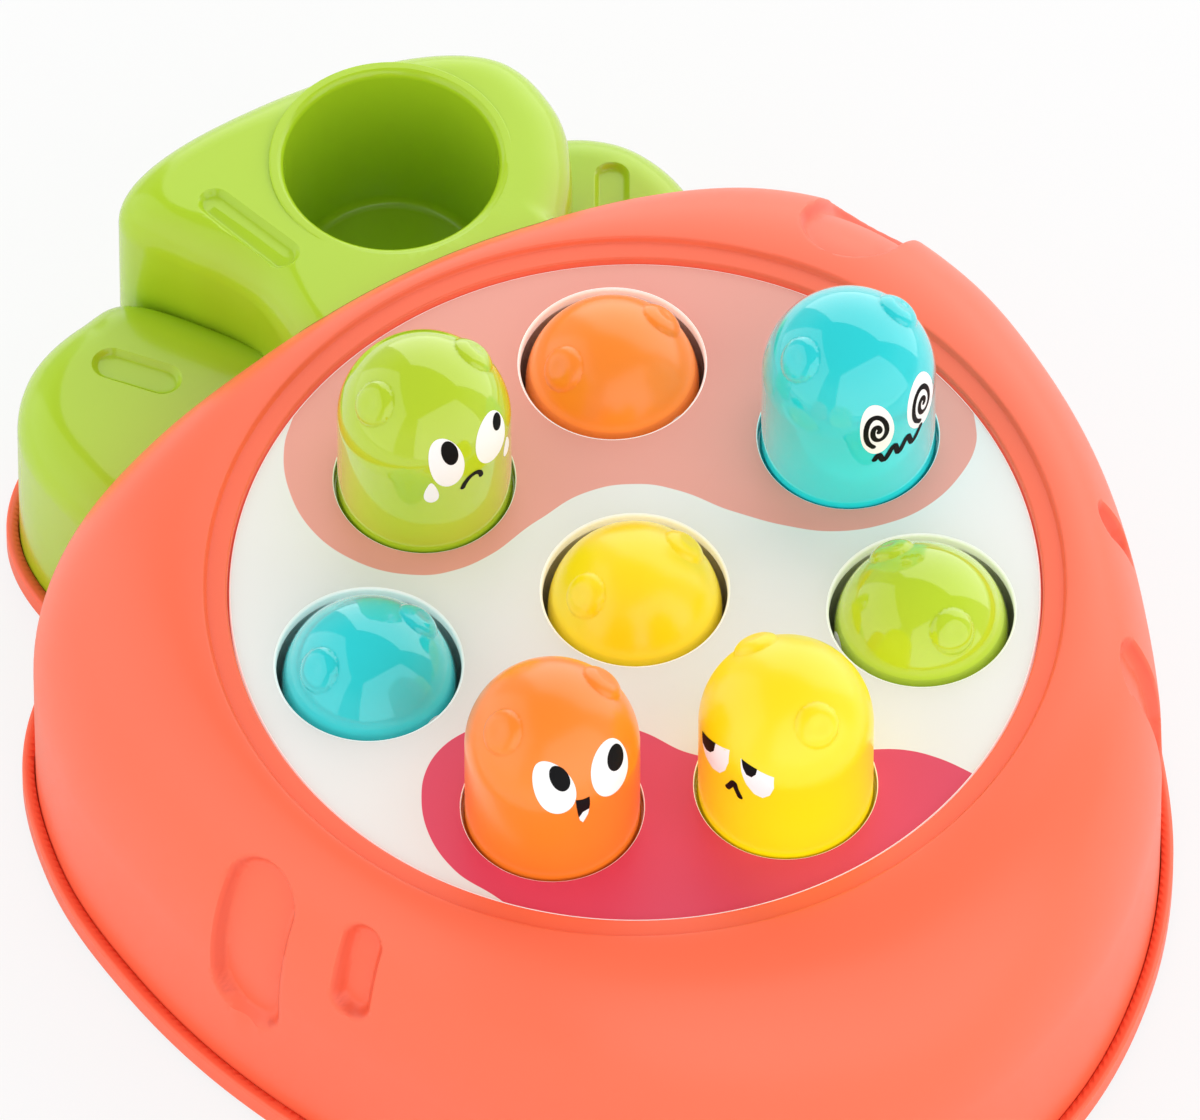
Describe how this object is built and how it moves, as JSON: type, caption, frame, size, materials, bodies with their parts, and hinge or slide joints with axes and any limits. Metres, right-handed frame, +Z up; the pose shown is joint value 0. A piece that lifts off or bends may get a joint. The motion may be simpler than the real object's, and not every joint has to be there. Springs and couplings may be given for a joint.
{
  "type": "mole pounding game",
  "caption": "Carrot-shaped toddler pounding game: domed moles joined in see-saw pairs under a round panel, with a leaf-shaped mallet cup.",
  "frame": {"origin": "centre of the plan box, on the floor under the rubber feet", "axes": "+Z up along the moles' travel, +Y from the carrot's tip to its leaf, +X to the right as seen from the tip"},
  "size_m": [0.23, 0.2834, 0.1177],
  "materials": {
    "coral_plastic": "satin moulded",
    "leaf_green_plastic": "gloss moulded",
    "white_plastic": "gloss moulded, printed",
    "rocker_plastic": "moulded",
    "teal_plastic": "high gloss",
    "orange_plastic": "high gloss",
    "green_plastic": "high gloss",
    "yellow_plastic": "high gloss",
    "steel": "plain",
    "rubber": "matt"
  },
  "bodies": {
    "housing": {"base_tray": "coral_plastic", "carrot_body": "coral_plastic", "leaf_top": "leaf_green_plastic", "mole_panel": "white_plastic", "pin_teal": "steel", "pin_orange": "steel", "pin_green": "steel", "pin_yellow": "steel", "screw_01": "steel", "screw_02": "steel", "screw_03": "steel", "screw_04": "steel", "screw_05": "steel", "screw_06": "steel", "screw_07": "steel", "screw_08": "steel", "screw_09": "steel", "screw_10": "steel", "rubber_foot_1": "rubber", "rubber_foot_2": "rubber", "rubber_foot_3": "rubber", "rubber_foot_4": "rubber"},
    "mole_teal_up": {"mole_teal_up": "teal_plastic", "stem_teal_up": "white_plastic"},
    "mole_teal_down": {"mole_teal_down": "teal_plastic", "stem_teal_down": "white_plastic"},
    "mole_orange_up": {"mole_orange_up": "orange_plastic", "stem_orange_up": "white_plastic"},
    "mole_orange_down": {"mole_orange_down": "orange_plastic", "stem_orange_down": "white_plastic"},
    "mole_green_up": {"mole_green_up": "green_plastic", "stem_green_up": "white_plastic"},
    "mole_green_down": {"mole_green_down": "green_plastic", "stem_green_down": "white_plastic"},
    "mole_yellow_up": {"mole_yellow_up": "yellow_plastic", "stem_yellow_up": "white_plastic"},
    "mole_yellow_down": {"mole_yellow_down": "yellow_plastic", "stem_yellow_down": "white_plastic"},
    "rocker_teal": {"rocker_teal": "rocker_plastic"},
    "rocker_orange": {"rocker_orange": "rocker_plastic"},
    "rocker_green": {"rocker_green": "rocker_plastic"},
    "rocker_yellow": {"rocker_yellow": "rocker_plastic"}
  },
  "joints": [
    {"name": "teal_up_slide", "type": "slide", "parent": "housing", "child": "mole_teal_up", "axis": [0, 0, 1], "range_m": [-0.028, 0]},
    {"name": "teal_down_slide", "type": "slide", "parent": "housing", "child": "mole_teal_down", "axis": [0, 0, 1], "range_m": [0, 0.028]},
    {"name": "teal_rocker_turn", "type": "hinge", "parent": "housing", "child": "rocker_teal", "pos_m": [0.00085, -0.00339, 0.0105], "axis": [0, 1, 0], "range_deg": [0, 27.58]},
    {"name": "orange_up_slide", "type": "slide", "parent": "housing", "child": "mole_orange_up", "axis": [0, 0, 1], "range_m": [-0.028, 0]},
    {"name": "orange_down_slide", "type": "slide", "parent": "housing", "child": "mole_orange_down", "axis": [0, 0, 1], "range_m": [0, 0.028]},
    {"name": "orange_rocker_turn", "type": "hinge", "parent": "housing", "child": "rocker_orange", "pos_m": [-0.00837, -0.00801, 0.0208], "axis": [0, 1, 0], "range_deg": [-44.18, 0]},
    {"name": "green_up_slide", "type": "slide", "parent": "housing", "child": "mole_green_up", "axis": [0, 0, 1], "range_m": [-0.028, 0]},
    {"name": "green_down_slide", "type": "slide", "parent": "housing", "child": "mole_green_down", "axis": [0, 0, 1], "range_m": [0, 0.028]},
    {"name": "green_rocker_turn", "type": "hinge", "parent": "housing", "child": "rocker_green", "pos_m": [0.01261, -0.00916, 0.0347], "axis": [0, 1, 0], "range_deg": [-43.92, 0]},
    {"name": "yellow_up_slide", "type": "slide", "parent": "housing", "child": "mole_yellow_up", "axis": [0, 0, 1], "range_m": [-0.028, 0]},
    {"name": "yellow_down_slide", "type": "slide", "parent": "housing", "child": "mole_yellow_down", "axis": [0, 0, 1], "range_m": [0, 0.028]},
    {"name": "yellow_rocker_turn", "type": "hinge", "parent": "housing", "child": "rocker_yellow", "pos_m": [0.0003, -0.04383, 0.0215], "axis": [1, 0, 0], "range_deg": [0, 51.73]}
  ],
  "couplings": [
    {"joint": "teal_down_slide", "follows": "teal_up_slide", "ratio": -1},
    {"joint": "teal_rocker_turn", "follows": "teal_up_slide", "rad_per_m": -17.179},
    {"joint": "orange_down_slide", "follows": "orange_up_slide", "ratio": -1},
    {"joint": "orange_rocker_turn", "follows": "orange_up_slide", "rad_per_m": 27.528},
    {"joint": "green_down_slide", "follows": "green_up_slide", "ratio": -1},
    {"joint": "green_rocker_turn", "follows": "green_up_slide", "rad_per_m": 27.364},
    {"joint": "yellow_down_slide", "follows": "yellow_up_slide", "ratio": -1},
    {"joint": "yellow_rocker_turn", "follows": "yellow_up_slide", "rad_per_m": -32.233}
  ]
}
